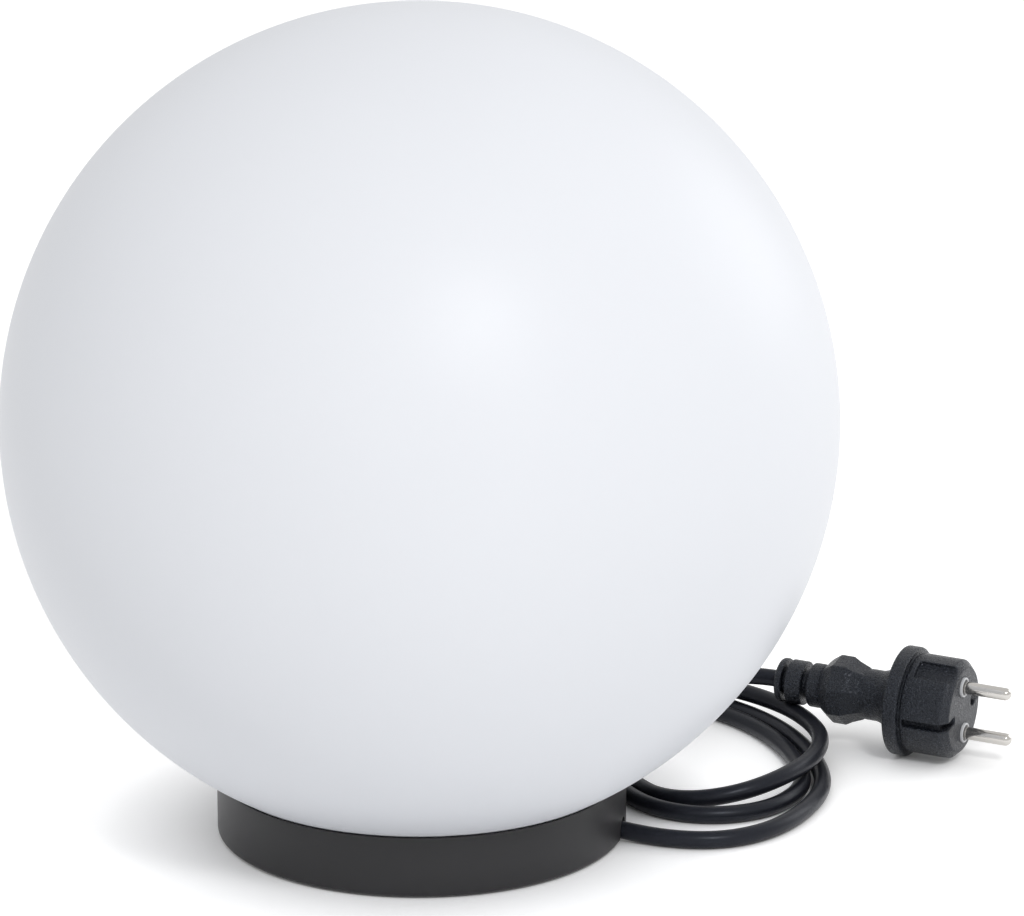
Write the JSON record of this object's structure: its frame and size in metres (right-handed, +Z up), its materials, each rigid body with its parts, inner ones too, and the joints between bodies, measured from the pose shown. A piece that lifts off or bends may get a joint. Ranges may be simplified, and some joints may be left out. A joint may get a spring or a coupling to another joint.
{
  "type": "garden_globe_light",
  "caption": "Garden globe light: white opal plastic ball on a low dark base, screw-cap lamp holder and LED bulb inside, black rubber mains lead in loose loops with a moulded plug.",
  "frame": {"origin": "centre of the underside, on the surface that the light stands on", "axes": "+Z up through the middle of the ball, -Y towards the front, +X towards the plug's side"},
  "size_m": [0.3717, 0.3121, 0.304],
  "materials": {
    "opal_plastic": "smooth satin opal white",
    "dark_plastic": "fine matte dark grey",
    "black_rubber": "matte black rubber",
    "cord_rubber": "black rubber sheath with a soft sheen",
    "plug_rubber": "grainy matte black rubber",
    "ring_plastic": "off-white insulating plastic",
    "pin_metal": "nickel plated brass",
    "bright_steel": "bright steel screws",
    "zinc_steel": "zinc plated steel",
    "nickel_metal": "nickel plated sheet",
    "brass_metal": "bare brass",
    "black_bakelite": "glossy black moulding",
    "black_glass": "black glass insulator",
    "white_ceramic": "white ceramic and solder mask",
    "white_plastic": "white bulb housing",
    "bulb_opal": "frosted bulb dome",
    "green_board": "green circuit board",
    "terminal_plastic": "natural terminal plastic",
    "brown_core": "brown insulation",
    "blue_core": "blue insulation"
  },
  "bodies": {
    "base": {"base_housing": "dark_plastic", "neck_seal": "black_rubber", "base_cover": "dark_plastic", "cover_gasket": "black_rubber", "cover_screws": "bright_steel", "rubber_feet": "black_rubber", "holder_bracket": "zinc_steel", "bracket_screws": "bright_steel", "threaded_nipple": "zinc_steel", "nipple_nuts": "zinc_steel", "holder_cap": "black_bakelite", "holder_skirt": "black_bakelite", "contact_carrier": "white_ceramic", "screw_shell": "nickel_metal", "centre_contact": "brass_metal", "shell_contact": "brass_metal", "cable_relief": "black_rubber", "cable_sheath": "cord_rubber", "cord_clamp": "black_bakelite", "clamp_screws": "bright_steel", "terminal_block": "terminal_plastic", "terminal_screws": "bright_steel", "live_core": "brown_core", "neutral_core": "blue_core", "live_wire": "brown_core", "neutral_wire": "blue_core", "cord_lead": "cord_rubber", "cord_coil": "cord_rubber", "cord_tail": "cord_rubber", "plug_body": "plug_rubber", "plug_rings": "ring_plastic", "plug_pins": "pin_metal"},
    "ball": {"globe_shell": "opal_plastic"},
    "bulb": {"bulb_tip_contact": "zinc_steel", "bulb_cap_insulator": "black_glass", "bulb_screw_cap": "nickel_metal", "bulb_housing": "white_plastic", "bulb_diffuser": "bulb_opal", "bulb_led_board": "white_ceramic", "bulb_driver_board": "green_board"}
  },
  "joints": [
    {"name": "globe_lift", "type": "slide", "parent": "base", "child": "ball", "axis": [0, 0, 1], "range_m": [0, 0.17]},
    {"name": "bulb_out", "type": "slide", "parent": "base", "child": "bulb", "axis": [0, 0, 1], "range_m": [0, 0.05]}
  ]
}
